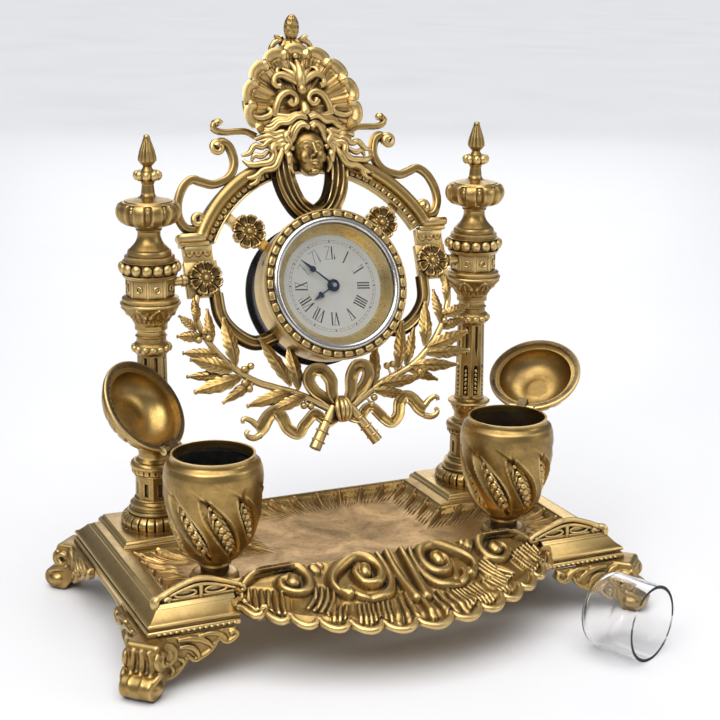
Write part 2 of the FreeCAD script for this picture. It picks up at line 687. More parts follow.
def pot_place(shape, side):
    """Turns a piece made with its hinge towards +X to its own side, and moves it to its pot."""
    return moved(turned_by(shape, ZERO, Z_AXIS, hinge_angle(side)),
                 V(side_sign(side) * POT_X, -POT_FORWARD, 0))


def hinge_barrel(radius, start, end):
    """A round bar on the hinge's axis, between two distances along it."""
    return rod(radius, V(HINGE_OUT, start, HINGE_Z), V(HINGE_OUT, end, HINGE_Z))


def inkpot(side):
    """The cast pot: foot, lobed body, rim, and the middle knuckle of its hinge."""
    z, r = FLOOR_TOP, POT_R
    top = POT_TOP
    neck_top = z + 6.3
    foot_disc = turned([(0, z), (POT_FOOT_R, z), (POT_FOOT_R, z + 1.6), (POT_FOOT_R - 1.4, z + 2.6),
                        (POT_NECK_R + 0.4, z + 3.2), (POT_NECK_R - 2.3,
                                                      z + 3.2), (POT_NECK_R - 2.3, neck_top),
                        (POT_NECK_R + 0.9, neck_top), (POT_NECK_R + 0.9, z + 7.6), (r - 11.0, z + 10.6),
                        (r - 6.2, z + 16.0), (r - 2.9, z + 26.0, r, z + 47.5), (r - 0.4, z + 51.2),
                        (POT_RIM_R + 2.1, z + 54.2), (POT_RIM_R + 0.6, z + 56.2), (POT_RIM_R, z + 57.2),
                        (POT_RIM_R, top), (0, top)])
    ledge = z + POT_LEDGE
    bore = rod(POT_BORE_R, V(0, 0, ledge), V(0, 0, top + 1))
    cup = turned([(0, z + 16.0), (8.0, z + 16.0), (13.4, ledge - 3.0, POT_BORE_R - 3.0, ledge + 0.5),
                  (0, ledge + 0.5)])
    half = HINGE_MIDDLE / 2
    arm = box(POT_BORE_R + 1.2, HINGE_OUT, -half, half, HINGE_Z - 4.0, HINGE_Z)
    knuckle = arm.fuse(hinge_barrel(HINGE_BARREL_R, -half, half)).cut(hinge_barrel(HINGE_PIN_R, -half, half))
    screw_hole = rod(SCREW_R, V(0, 0, z - 1), V(0, 0, z + 6.0))
    return pot_place(joined([foot_disc, knuckle]).cut(bore).cut(cup).cut(screw_hole), side)


def inkpot_spacers():
    """The dark ring round each pot's neck, between its foot and its body."""
    z = FLOOR_TOP
    ring = turned([(POT_NECK_R - 2.3, z + 3.2), (POT_NECK_R, z + 3.2), (POT_NECK_R + 0.3, z + 4.7),
                   (POT_NECK_R, z + 6.3), (POT_NECK_R - 2.3, z + 6.3)])
    return Part.makeCompound([pot_place(ring, side) for side in ("left", "right")])


def lid(side):
    """The domed lid with its knob and two hinge knuckles, opened as far as its stop."""
    low = POT_TOP - HINGE_DROP + 0.2
    seat = POT_TOP + LID_GAP
    top = low + LID_HEIGHT
    wall, r = LID_WALL, LID_R
    dome = turned([(POT_RIM_R + 1.3, low), (r, low), (r, low + 1.6), (r - 0.8, low + 2.4),
                   (r - 4.6, low + 9.2, 6.0, top), (2.4, top + 0.5), (2.0, top + 1.4),
                   ball_end(2.0, top + 1.4, top + 8.0), (0, top - wall), (5.5, top - wall),
                   (r - 5.6 - wall, low + 8.4, POT_RIM_R - 1.6, seat), (POT_RIM_R + 1.3, seat)])
    half, middle = HINGE_LENGTH / 2, HINGE_MIDDLE / 2 + 0.2
    outer = [hinge_barrel(HINGE_BARREL_R, -half, -middle), hinge_barrel(HINGE_BARREL_R, middle, half)]
    notch = box(HINGE_OUT - 3.8, HINGE_OUT + 3, -middle, middle, low - 3, HINGE_Z + 2.3)
    body = joined([dome.cut(notch)] + outer).cut(hinge_barrel(HINGE_PIN_R + RUNNING, -half - 1, half + 1))
    open_by = LEFT_LID_OPEN if side == "left" else RIGHT_LID_OPEN
    return pot_place(turned_by(body, V(HINGE_OUT, 0, HINGE_Z), Y_AXIS, open_by), side)


def lid_hinge_pins():
    """The pin of each lid's hinge."""
    pin = hinge_barrel(HINGE_PIN_R, -HINGE_LENGTH / 2, HINGE_LENGTH / 2)
    return Part.makeCompound([pot_place(pin, side) for side in ("left", "right")])


def glass_liner():
    """A glass ink liner standing on Z = 0, with a round bottom edge."""
    r, wall, height = LINER_R, LINER_WALL, LINER_HEIGHT
    return turned([(0, 0), (r - 6.0, 0), (r - 1.75, 2.1, r, 6.5), (r, height), (r - wall, height),
                   (r - wall, 7.0), (r - wall - 1.4, 3.0, r - 6.5, 1.8), (0, 1.8)])


def glass_liner_left():
    """The liner that stands in the left pot."""
    return moved(glass_liner(), V(-POT_X, -POT_FORWARD, FLOOR_TOP + POT_LEDGE))


def glass_liner_loose():
    """The right pot's liner, taken out and laid on its side in front of the tray."""
    lying = turned_by(moved(glass_liner(), V(0, 0, -LINER_HEIGHT / 2)), ZERO, X_AXIS, 90)
    lying = turned_by(lying, ZERO, Z_AXIS, LOOSE_LINER_TURN)
    return moved(lying, V(LOOSE_LINER_X, LOOSE_LINER_Y, LINER_R))


# ---- clock frame, drawn upright about its pivots -----------------------------------------------


def leaned(shape):
    """Leans a piece of the upright frame back about its pivots, in place on the columns."""
    standing = moved(shape, V(0, -PIVOT_FORWARD, PIVOT_Z))
    return turned_by(standing, V(0, -PIVOT_FORWARD, PIVOT_Z), X_AXIS, -LEAN)


def both_sides(shape):
    """A shape and its mirror image, in a list."""
    return [shape, other_side(shape)]


def drum_space():
    """The round space that the drum fills in the frame."""
    return rod(DRUM_R, ARBOR + V(0, 40, 0), ARBOR - V(0, 40, 0))


def at_arch(rise, degrees):
    """A point of the frame's plane, at a rise over the arch's outer edge and a direction from the arbor."""
    radius, angle = ARCH_OUTER_R + rise, math.radians(degrees)
    return radius * math.cos(angle), radius * math.sin(angle) - ARBOR_DROP


def at_drum(rise, degrees):
    """A point of the frame's plane, at a distance outside the drum and a direction from the arbor."""
    return at_arch(DRUM_R - ARCH_OUTER_R + rise, degrees)


def arch_moulding():
    """The moulded arch: a round bead outside and a thin scalloped lip inside."""
    inner, outer = ARCH_INNER_R, ARCH_OUTER_R
    bead = outer - ARCH_BEAD_WIDTH
    section = [(inner, PLATE_BACK), (outer, PLATE_BACK), (outer, PLATE_FRONT),
               (outer - ARCH_BEAD_WIDTH / 2, PLATE_FRONT + ARCH_BEAD_RISE, bead, PLATE_FRONT),
               (bead - 1.4, PLATE_FRONT - 1.2), (inner, PLATE_FRONT)]
    flat = face(section, lambda r, depth: V(r, -depth, -ARBOR_DROP))
    start = turned_by(flat, ARBOR, Y_AXIS, -ARCH_START)
    return start.revolve(ARBOR, Y_AXIS, -(180 - 2 * ARCH_START))


def arch_shoulder():
    """The right shoulder: impost, panel, side block, pivot lug and the strap down to the drum."""
    inner = ARCH_INNER_R - 6.3
    impost_start, impost_end = inner + 3.5, SIDE_BLOCK_END + 1.4
    panel_end = SIDE_BLOCK_END - 1.2
    impost = upright_plate([(impost_start, IMPOST_BOTTOM), (impost_end - 1.5, IMPOST_BOTTOM),
                            (impost_end, IMPOST_TOP - 2.2), (impost_end - 0.4, IMPOST_TOP),
                            (impost_start, IMPOST_TOP)], PLATE_BACK, PLATE_FRONT + 2.5)
    panel = upright_plate([(inner + 1.1, SIDE_BLOCK_HALF - 0.5), (panel_end, SIDE_BLOCK_HALF - 0.5),
                           (panel_end, IMPOST_BOTTOM + 0.5), (inner + 1.1, IMPOST_BOTTOM + 0.5)],
                          PLATE_BACK, PLATE_FRONT)
    block = upright_plate([(inner, -SIDE_BLOCK_HALF), (SIDE_BLOCK_END, -SIDE_BLOCK_HALF),
                           (SIDE_BLOCK_END, SIDE_BLOCK_HALF), (inner,
                                                               SIDE_BLOCK_HALF)], PLATE_BACK, PLATE_FRONT)
    lug = rod(LUG_R, V(SIDE_BLOCK_END - 0.2, 0, 0), V(LUG_END, 0, 0))
    strap = ribbon([(inner + 2.1, 1.6 - SIDE_BLOCK_HALF), (inner + 1.3, -17.5), (48.4, -25.0),
                    at_drum(11.8, -26.5),
                    at_drum(7.2, -31.9), at_drum(-1.3, -36.0)], (3.6, 3.4), PLATE_BACK, PLATE_FRONT - 1.0)
    return joined([impost, panel, block, lug, strap])


def rosette_bridge():
    """The bar behind an upper rosette, from the drum to the arch."""
    bar = box(DRUM_R - 2, ARCH_INNER_R + 1.5, -1.5, 1.5, -2.6, 2.6)
    return moved(turned_by(bar, ZERO, Y_AXIS, -UPPER_ROSETTE_ANGLE), ARBOR)


def arch_frame():
    """The main casting of the frame, open at the foot, with bores for the pivot pins."""
    body = joined([arch_moulding()] + both_sides(arch_shoulder()) + both_sides(rosette_bridge()))
    body = body.cut(drum_space())
    for sign in (-1, 1):
        body = body.cut(rod(PIVOT_PIN_R, V(sign * 60.0, 0, 0), V(sign * (LUG_END + 1), 0, 0)))
    return body


def pivot_pins():
    """The two steel pins that the frame swings on."""
    pins = [rod(PIVOT_PIN_R, V(sign * 60.0, 0, 0), V(sign * PIVOT_PIN_END, 0, 0)) for sign in (-1, 1)]
    return Part.makeCompound(pins)


def rosette(x, z, back):
    """An eight-petalled rosette, its back at a depth in the frame."""
    petals = upright_plate(lobed_outline(ROSETTE_PETALS, ROSETTE_R, ROSETTE_R * 0.84), back,
                           back + 0.6 * ROSETTE_THICKNESS)
    eye = turned([(0, 0), (3.4, 0), (3.0, 1.6), (2.2, ROSETTE_THICKNESS - 0.6),
                  ball_end(2.2, ROSETTE_THICKNESS - 0.6, ROSETTE_THICKNESS + 0.6)])
    eye = turned_by(eye, ZERO, X_AXIS, 90)
    return moved(joined([petals, moved(eye, V(0, -back, 0))]), V(x, 0, z))


def rosettes():
    """Two rosettes on the side blocks and two on the bars between the arch and the drum."""
    angle = math.radians(UPPER_ROSETTE_ANGLE)
    upper = rosette(UPPER_ROSETTE_R * math.cos(angle), UPPER_ROSETTE_R * math.sin(angle) - ARBOR_DROP, 1.5)
    side = rosette(SIDE_ROSETTE_X, 0, PLATE_FRONT)
    return Part.makeCompound(both_sides(side) + both_sides(upper))


def shoulder_scroll():
    """The right S-scroll on the outside of the arch, with a curl at each end."""
    path = [(15.7, 58.4), (16.6, 61.1), (11.8, 62.3), (5.1, 60.3), (1.5, 54.9), (4.2, 48.5), (9.7, 45.8),
            (13.5, 44.3),
            (14.7, 40.2), (13.2, 35.2), (9.9, 30.7), (4.8, 28.0), (0.4, 28.8), (-1.1, 32.3)]
    band = ribbon([at_arch(*one) for one in path], (SCROLL_WIDTH, SCROLL_WIDTH), -1.4, 1.8)
    (upper_x, upper_z), (lower_x, lower_z) = at_arch(15.8, 58.3), at_arch(0.8, 32.7)
    upper_eye = rod(2.6, V(upper_x, 1.4, upper_z), V(upper_x, -2.4, upper_z))
    lower_eye = rod(2.5, V(lower_x, 1.4, lower_z), V(lower_x, -2.4, lower_z))
    return joined([band, upper_eye, lower_eye]).cut(arch_frame_upright)


def shell_arm():
    """The level arm beside the crest, with its curled end."""
    start, height = SHELL_R - 5.5, SHELL_CENTRE - 12.0
    path = [(0.0, 0.0), (7.0, 2.6), (14.0, 2.0), (19.0, 2.8), (20.6, 5.4)]
    bar = ribbon([(start + along, height + rise) for along, rise in path], (3.4, 2.8), -1.4, 1.6)
    return joined([bar, rod(2.2, V(start + 19.0, 1.4, height + 5.2), V(start + 19.0, -2.2, height + 5.2))])


def crest_shell():
    """The scallop shell over the arch, its two side arms and the bud on top."""
    outline = lobed_outline(SHELL_LOBES, SHELL_R, SHELL_R - 2.4, (0, SHELL_CENTRE), -22.0, 224.0)
    z = SHELL_CENTRE
    outline += [(-14.0, z - 19.0), (14.0, z - 19.0)]
    fan = upright_plate(outline, -1.6, 2.4)
    leaf = upright_plate([(-8.5, z - 5.0), (-6.0, z + 7.0, -8.0, z + 17.0),
                          (0, z + SHELL_R - 2.0, 8.0, z + 17.0),
                          (6.0, z + 7.0, 8.5, z - 5.0)], 2.0, 6.0)
    bud = turned([(0, -4.0), (4.4, -3.0), (6.4, 0.6), (3.4, 2.4), (6.4, 4.4), (6.6, 6.6, 3.4, 9.0),
                  (4.2, 10.6),
                  (4.0, 15.0, 2.4, 18.2), ball_end(2.4, 18.2, 19.8)])
    bud = turned_by(bud, ZERO, X_AXIS, BUD_TILT)
    bud = moved(bud, V(0, -0.6, SHELL_CENTRE + SHELL_R - 2.5))
    shell = joined([fan, leaf, bud] + both_sides(shell_arm()))
    return shell.cut(arch_frame_upright)


def crest_mask():
    """A plain head in front of the arch, with waved hair laid over the arch to both sides."""
    ball = Part.makeSphere(1.0)
    shape = FreeCAD.Matrix()
    shape.scale(HEAD_HALF_WIDTH, 7.8, HEAD_HALF_HEIGHT)
    head = moved(ball.transformGeometry(shape), V(0, -6.0, HEAD_CENTRE))
    right = [(9.4, HEAD_CENTRE + 9.5), (13.6, HEAD_CENTRE + 2.5), (21.0, HEAD_CENTRE + 1.1),
             (30.0, HEAD_CENTRE - 4.5)]
    left = [(-x, z) for x, z in right[::-1]]
    hair = ribbon(left + [(0, HEAD_CENTRE + 13.1)] + right, (6.0, 6.0), PLATE_FRONT + 0.4, PLATE_FRONT + 6.4)
    low, high = HEAD_CENTRE - 8.5, HEAD_CENTRE + 9.5
    nape = upright_plate([(-11.0, low), (11.0, low), (11.0, high), (-11.0, high)], 0.4, PLATE_FRONT + 4.0)
    return joined([head, hair, nape]).cut(arch_frame_upright).cut(crest_shell_upright)


def drapery_swag():
    """Two folded bands from beside the head down to the top of the drum, open like a heart between."""
    band = ribbon([(13.4, HEAD_CENTRE - 3.5), (14.2, HEAD_CENTRE - 12.5), (12.2, DRUM_TOP + 11.3),
                   (8.0, DRUM_TOP + 4.9), (2.0, DRUM_TOP + 0.5), (-3.0,
                                                                  DRUM_TOP - 2.3)], (6.4, 4.6), -1.0, 4.6)
    cloth = joined(both_sides(band)).cut(drum_space())
    return cloth.cut(arch_frame_upright).cut(crest_mask_upright)


def leaf(base, tip, width):
    """A pointed leaf from its base to its tip."""
    (x0, z0), (x1, z1) = base, tip
    length = math.hypot(x1 - x0, z1 - z0)
    side_x, side_z = -(z1 - z0) / length * width / 2, (x1 - x0) / length * width / 2
    mid_x, mid_z = x0 + 0.45 * (x1 - x0), z0 + 0.45 * (z1 - z0)
    outline = [(x0, z0), (mid_x + side_x, mid_z + side_z, x1, z1), (mid_x - side_x, mid_z - side_z, x0, z0)]
    return upright_plate(outline, 1.0, 1.0 + LEAF_THICKNESS)


def berry(twig, centre):
    """A berry on a short stalk that starts in the branch."""
    (x0, z0), (x1, z1) = twig, centre
    middle = V(x1, -1.0, z1)
    return joined([rod(0.8, V(x0, -0.4, z0), middle), Part.makeSphere(BERRY_R, middle)])


def laurel_branch():
    """The right laurel branch: stem, leaves and berries."""
    stem = ribbon([(63.4, -7.6), (65.4, -16.0), (63.0, -25.4), (57.4, -35.0), (49.4, -43.7), (41.0, -50.0),
                   (32.0, -53.8),
                   (23.0, -57.2), (13.0, -62.4), (5.0, -67.0)], (3.2, 3.0), -1.2, 1.8)
    leaves = [((63.6, -9.0), (69.4, -27.5), 5.6), ((64.6, -22.0), (72.6, -27.5), 5.0),
              ((60.4, -29.0), (72.2, -36.0), 5.4),
              ((57.0, -35.0), (71.0, -44.0), 5.6), ((51.0, -41.5), (68.0, -52.0),
                                                    6.0), ((62.0, -27.0), (55.5, -11.5), 5.4),
              ((53.0, -38.5), (47.5, -21.0), 6.4), ((43.0, -47.5), (50.0, -33.0),
                                                    5.0), ((34.0, -52.5), (36.6, -33.0), 6.4),
              ((30.0, -54.5), (46.5, -61.0), 6.4), ((22.5, -57.0), (19.5, -44.5),
                                                    5.6), ((18.0, -59.5), (33.0, -66.0), 5.4)]
    berries = [((62.4, -26.6), (66.0, -30.0)), ((58.6, -33.0), (62.6, -29.6)),
               ((43.4, -48.2), (46.6, -51.6)),
               ((41.0, -50.0), (44.0, -54.2)), ((21.0, -58.2), (21.4, -62.6))]
    pieces = [stem] + [leaf(*one) for one in leaves] + [berry(*one) for one in berries]
    return joined(pieces).cut(arch_frame_upright).cut(drum_space())


def ribbon_tail():
    """The right tail of the ribbon, waved and forked."""
    wave = ribbon([(2.0, -69.0), (8.0, -73.0), (13.5, -71.0), (18.0, -75.0), (24.0, -76.6), (28.5, -71.0),
                   (33.0, -68.4),
                   (38.0, -71.4), (41.0, -71.6)], (4.6, 3.6), -0.6, 2.0)
    fork = upright_plate([(39.6, -73.6), (46.2, -75.6), (43.0, -71.2), (47.2, -66.6), (39.6, -69.4)], -0.6,
                         2.0)
    return joined([wave, fork])


def ribbon_bow():
    """The bow under the drum: knot, two loops, two tails and the cut ends of the branches."""
    knot = Part.makeSphere(1.0)
    shape = FreeCAD.Matrix()
    shape.scale(4.2, 4.4, 6.4)
    knot = moved(knot.transformGeometry(shape), V(0, -1.0, -66.0))
    outer = [(1.2, -62.0), (3.5, -52.5), (9.0, -48.6, 13.4, -51.0), (12.6, -57.0), (2.0, -66.0)]
    inner = [(4.6, -58.4), (6.4, -53.6), (9.0, -51.8, 10.6, -53.2), (10.0, -55.6)]
    loop = upright_plate(outer, -0.8, 4.2).cut(upright_plate(inner, -2, 6))
    stem = rod(2.3, V(5.0, -0.6, -66.0), V(14.6, -0.6, -83.5))
    tie = box(-3.0, 3.0, -2.0, 1.6, -64.0, DRUM_FOOT + 0.9)
    bow = joined([knot, tie] + both_sides(loop) + both_sides(stem) + both_sides(ribbon_tail()))
    return bow.cut(drum_space()).cut(laurel_upright).cut(other_side(laurel_upright))


# ---- clock, drawn with its axis along Z and its dial at the front ---------------------------------


def clock_place(shape):
    """Sets a clock piece into the upright frame, facing forwards."""
    facing = turned_by(shape, ZERO, X_AXIS, 90)
    return moved(turned_by(facing, ZERO, Y_AXIS, CLOCK_ROLL), ARBOR)


def drum_case():
    """The brass drum with its beaded front rim and the ledge that carries dial and movement."""
    outer, inner = DRUM_R, DRUM_R - DRUM_WALL
    ledge_back, ledge_front = FRONT_PLATE, DIAL_FACE - DIAL_THICKNESS
    front = DRUM_FRONT
    body = turned([(inner, DRUM_BACK), (outer, DRUM_BACK), (outer, front - 5.2), (DRUM_RIM_R, front - 4.6),
                   (DRUM_RIM_R + 0.0, front - 1.4), (DRUM_RIM_R - 1.4,
                                                     front), (BEZEL_R, front), (BEZEL_R, DIAL_FACE + 1.2),
                   (29.2, DIAL_FACE + 1.2), (29.2, ledge_front), (27.4,
                                                                  ledge_front), (27.4, ledge_back), (inner,
                                                                                                     ledge_back)])
    hole = rod(1.2, V(-outer - 1, 0, 8.2), V(-inner + 1, 0, 8.2))
    return body.cut(turned_by(hole, ZERO, Z_AXIS, -20))


def bezel_ring():
    """The nickel bezel that holds the glass."""
    r, inner, front = BEZEL_R, BEZEL_R - BEZEL_WIDTH, DRUM_FRONT
    glass_back = front
    glass_front = glass_back + GLASS_THICKNESS
    return turned([(inner, front - BEZEL_DEPTH), (r, front - BEZEL_DEPTH), (r, front + 0.8),
                   (r - 0.9, front + 2.4, inner - 0.4, front + 1.9), (inner - 0.4,
                                                                      glass_front), (inner + 0.6,
                                                                                     glass_front),
                   (inner + 0.6, glass_back), (inner, glass_back)])


def bezel_glass():
    """The flat glass."""
    return moved(Part.makeCylinder(BEZEL_R - BEZEL_WIDTH + 0.6, GLASS_THICKNESS), V(0, 0, DRUM_FRONT))


def sight_ring():
    """The gilt cone between glass and dial."""
    outer, inner = BEZEL_R - BEZEL_WIDTH, DIAL_VISIBLE_R
    return turned([(inner, DIAL_FACE), (27.0, DIAL_FACE), (27.0, DIAL_FACE + 1.4), (outer, DRUM_FRONT - 1.0),
                   (outer, DRUM_FRONT), (outer - 0.8, DRUM_FRONT), (inner, DIAL_FACE + 0.6)])


def dial():
    """The paper dial on its card disc."""
    disc = moved(Part.makeCylinder(29.0, DIAL_THICKNESS), V(0, 0, DIAL_FACE - DIAL_THICKNESS))
    return disc.cut(rod(2.6, V(0, 0, 0), V(0, 0, DIAL_FACE + 1)))


def back_cover():
    """The black cover that slides into the back of the drum."""
    outer = DRUM_R - DRUM_WALL
    inner = outer - COVER_WALL
    back = COVER_BACK
    body = turned([(0, back), (COVER_RIM_R, back), (COVER_RIM_R, back + 1.0), (outer, back + 1.0),
                   (outer, DRUM_BACK + 3.5),
                   (inner, DRUM_BACK + 3.5), (inner, back + 1.2), (0, back + 1.2)])
    for point, radius in ((V(0, 0, back), 2.0), (winding_point(back), 2.4)):
        body = body.cut(rod(radius, point - V(0, 0, 1), point + V(0, 0, 3)))
    for point in pillar_points(back):
        body = body.cut(rod(SCREW_R, point - V(0, 0, 1), point + V(0, 0, 3)))
    return body


# Train: teeth and modules of each meshing pair, and the direction from one arbor to the next.
GREAT_TEETH, CENTRE_PINION, GREAT_MODULE = 60, 10, 0.35
CENTRE_TEETH, THIRD_PINION, CENTRE_MODULE = 64, 8, 0.28
THIRD_TEETH, FOURTH_PINION, THIRD_MODULE = 60, 8, 0.25
FOURTH_TEETH, ESCAPE_PINION, FOURTH_MODULE = 56, 7, 0.25
CANNON_TEETH, MOTION_TEETH, MOTION_MODULE = 12, 36, 0.3
MOTION_PINION, HOUR_TEETH = 10, 40
HOUR_MODULE = MOTION_MODULE * (CANNON_TEETH + MOTION_TEETH) / (MOTION_PINION + HOUR_TEETH)
ESCAPE_R = 4.3
ESCAPE_TEETH = 15
BALANCE_R = 6.4


def step(start, distance, degrees):
    """A point at a distance and direction from another, in the clock's plane."""
    angle = math.radians(degrees)
    return V(start.x + distance * math.cos(angle), start.y + distance * math.sin(angle), 0)


def pair_distance(teeth_a, teeth_b, module):
    """Distance between the arbors of a meshing pair."""
    return module * (teeth_a + teeth_b) / 2


GREAT_DIRECTION, THIRD_DIRECTION, FOURTH_DIRECTION = -90.0, 30.0, 120.0
ESCAPE_DIRECTION, MOTION_DIRECTION = 190.0, -30.0
LEVER_DIRECTION, LEVER_DISTANCE, BALANCE_DISTANCE = 225.0, 6.6, 7.8
GREAT_POINT = step(ZERO, pair_distance(GREAT_TEETH, CENTRE_PINION, GREAT_MODULE), GREAT_DIRECTION)
THIRD_POINT = step(ZERO, pair_distance(CENTRE_TEETH, THIRD_PINION, CENTRE_MODULE), THIRD_DIRECTION)
FOURTH_POINT = step(THIRD_POINT, pair_distance(THIRD_TEETH, FOURTH_PINION, THIRD_MODULE), FOURTH_DIRECTION)
ESCAPE_POINT = step(FOURTH_POINT, pair_distance(FOURTH_TEETH, ESCAPE_PINION, FOURTH_MODULE),
                    ESCAPE_DIRECTION)
LEVER_POINT = step(ESCAPE_POINT, LEVER_DISTANCE, LEVER_DIRECTION)
BALANCE_POINT = step(LEVER_POINT, BALANCE_DISTANCE, LEVER_DIRECTION)
MOTION_POINT = step(ZERO, pair_distance(CANNON_TEETH, MOTION_TEETH, MOTION_MODULE), MOTION_DIRECTION)
PLATE_GAP_BOTTOM, PLATE_GAP_TOP = BACK_PLATE + PLATE_THICKNESS, FRONT_PLATE - PLATE_THICKNESS


def winding_point(z):
    """A point on the winding arbor's axis."""
    return V(GREAT_POINT.x, GREAT_POINT.y, z)


def pillar_points(z):
    """The feet of the four pillars, at a height."""
    return [V(PILLAR_CIRCLE * math.cos(math.radians(a)), PILLAR_CIRCLE * math.sin(math.radians(a)), z)
            for a in (45, 135, 215, 325)]


def toothed(teeth, module, thickness, z, aim, gap=False):
    """A toothed disc about Z, with a tooth, or a gap between teeth, in the aim direction in degrees."""
    teeth = round(teeth)
    pitch = module * teeth / 2
    tip, root = pitch + 0.55 * module, pitch - 0.85 * module
    pitch_angle = 360.0 / teeth
    first = aim + (pitch_angle / 2 if gap else 0.0)
    points = []
    for i in range(teeth):
        middle = first + i * pitch_angle
        for offset, radius in ((-0.26, root), (-0.1, tip), (0.1, tip), (0.26, root)):
            angle = math.radians(middle + offset * pitch_angle)
            points.append(V(radius * math.cos(angle), radius * math.sin(angle), z))
    return Part.Face(Part.makePolygon(points + points[:1])).extrude(V(0, 0, thickness))


def crossed_out(wheel, outer, hub, z, thickness, spokes=4):
    """Cuts round windows in a wheel so that spokes are left."""
    middle = (outer + hub) / 2
    radius = (outer - hub) / 2
    for i in range(spokes):
        angle = math.radians(360.0 * (i + 0.5) / spokes)
        centre = V(middle * math.cos(angle), middle * math.sin(angle), z - 1)
        wheel = wheel.cut(Part.makeCylinder(radius, thickness + 2, centre))
    return wheel


def arbor(radius=ARBOR_R):
    """An arbor between the plates, with a pivot at each end."""
    body = rod(radius, V(0, 0, PLATE_GAP_BOTTOM + 0.3), V(0, 0, PLATE_GAP_TOP - 0.3))
    pivot = rod(PIVOT_R, V(0, 0, BACK_PLATE), V(0, 0, FRONT_PLATE))
    return joined([body, pivot])


def great_wheel():
    """The wheel that the mainspring drives, loose on the winding arbor."""
    z = -6.4
    wheel = toothed(GREAT_TEETH, GREAT_MODULE, 1.2, z, -GREAT_DIRECTION)
    wheel = crossed_out(wheel, 9.4, 3.2, z, 1.2)
    return moved(wheel.cut(rod(1.2 + RUNNING, V(0, 0, z - 1), V(0, 0, z + 3))), GREAT_POINT)


def centre_wheel():
    """The centre wheel and its pinion on one pipe, which turns by friction on the centre arbor."""
    z, pinion_z = 4.6, PLATE_GAP_BOTTOM + 0.2
    wheel = crossed_out(toothed(CENTRE_TEETH, CENTRE_MODULE, WHEEL_THICKNESS, z, THIRD_DIRECTION), 7.8, 2.4,
                        z,
                        WHEEL_THICKNESS)
    pinion = toothed(CENTRE_PINION, GREAT_MODULE, 2.4, pinion_z, GREAT_DIRECTION, gap=True)
    pipe = rod(CENTRE_ARBOR_R + 0.4, V(0, 0, pinion_z), V(0, 0, z + WHEEL_THICKNESS))
    bore = rod(CENTRE_ARBOR_R + RUNNING, V(0, 0, pinion_z - 1), V(0, 0, z + 2))
    return joined([wheel, pinion, pipe]).cut(bore)


def centre_arbor():
    """The centre arbor, with the cannon pinion that drives the motion work."""
    cannon = toothed(CANNON_TEETH, MOTION_MODULE, 0.9, FRONT_PLATE + 0.2, MOTION_DIRECTION, gap=True)
    staff = rod(CENTRE_ARBOR_R, V(0, 0, COVER_BACK - 2.0), V(0, 0, HAND_PLANE + 1.9))
    return joined([cannon, staff])


def train_wheel(teeth, module, z, aim, pinion_teeth, pinion_module, pinion_z, pinion_aim, place):
    """A wheel and pinion on one arbor."""
    outer = module * teeth / 2 - 1.1
    wheel = crossed_out(toothed(teeth, module, WHEEL_THICKNESS, z, aim), outer, 1.8, z, WHEEL_THICKNESS)
    pinion = toothed(pinion_teeth, pinion_module, 1.6, pinion_z, pinion_aim, gap=True)
    return moved(joined([wheel, pinion, arbor(min(ARBOR_R, pinion_module * (pinion_teeth / 2 - 0.85)))]),
                 place)


def third_wheel():
    """The third wheel."""
    return train_wheel(THIRD_TEETH, THIRD_MODULE, 2.5, FOURTH_DIRECTION, THIRD_PINION, CENTRE_MODULE, 4.2,
                       THIRD_DIRECTION + 180, THIRD_POINT)


def fourth_wheel():
    """The fourth wheel."""
    return train_wheel(FOURTH_TEETH, FOURTH_MODULE, 0.4, ESCAPE_DIRECTION, FOURTH_PINION, THIRD_MODULE, 2.1,
                       FOURTH_DIRECTION + 180, FOURTH_POINT)


def escape_wheel():
    """The escape wheel with its long pointed teeth."""
    z = -1.8
    points = []
    for i in range(ESCAPE_TEETH):
        for offset, radius in ((0.0, ESCAPE_R), (0.12, ESCAPE_R - 0.1), (0.45, ESCAPE_R - 1.3),
                               (0.9, ESCAPE_R - 1.3)):
            angle = 2 * math.pi * (i + offset) / ESCAPE_TEETH
            points.append(V(radius * math.cos(angle), radius * math.sin(angle), z))
    disc = Part.Face(Part.makePolygon(points + points[:1])).extrude(V(0, 0, WHEEL_THICKNESS))
    pinion = toothed(ESCAPE_PINION, FOURTH_MODULE, 1.6, 0.0, ESCAPE_DIRECTION + 180, gap=True)
    return moved(joined([disc, pinion, arbor(0.6)]), ESCAPE_POINT)


def pallet_lever():
    """The lever with two pallets beside the escape wheel and a fork towards the balance."""
    z, thickness = -1.8, WHEEL_THICKNESS
    blade = box(-1.4, 3.2, -0.6, 0.6, z, z + thickness)
    anchor = box(-1.4, -0.4, -3.2, 3.2, z, z + thickness)
    fork = box(3.0, 4.4, -1.1, 1.1, z, z + thickness).cut(box(3.6, 5.0, -0.45, 0.45, z - 1, z + 2))
    body = turned_by(joined([blade, anchor, fork]), ZERO, Z_AXIS, LEVER_DIRECTION)
    return moved(joined([body, arbor(0.6)]), LEVER_POINT)


def balance_wheel():
    """The balance: rim, two arms, staff and roller."""
    z = -4.6
    rim = turned([(BALANCE_R - 0.9, z), (BALANCE_R, z), (BALANCE_R, z + 1.2), (BALANCE_R - 0.9, z + 1.2)])
    arms = box(-BALANCE_R + 0.5, BALANCE_R - 0.5, -0.6, 0.6, z + 0.2, z + 1.0)
    roller = Part.makeCylinder(1.4, 0.6, V(0, 0, z + 2.8))
    return moved(joined([rim, arms, roller, arbor(0.6)]), BALANCE_POINT)


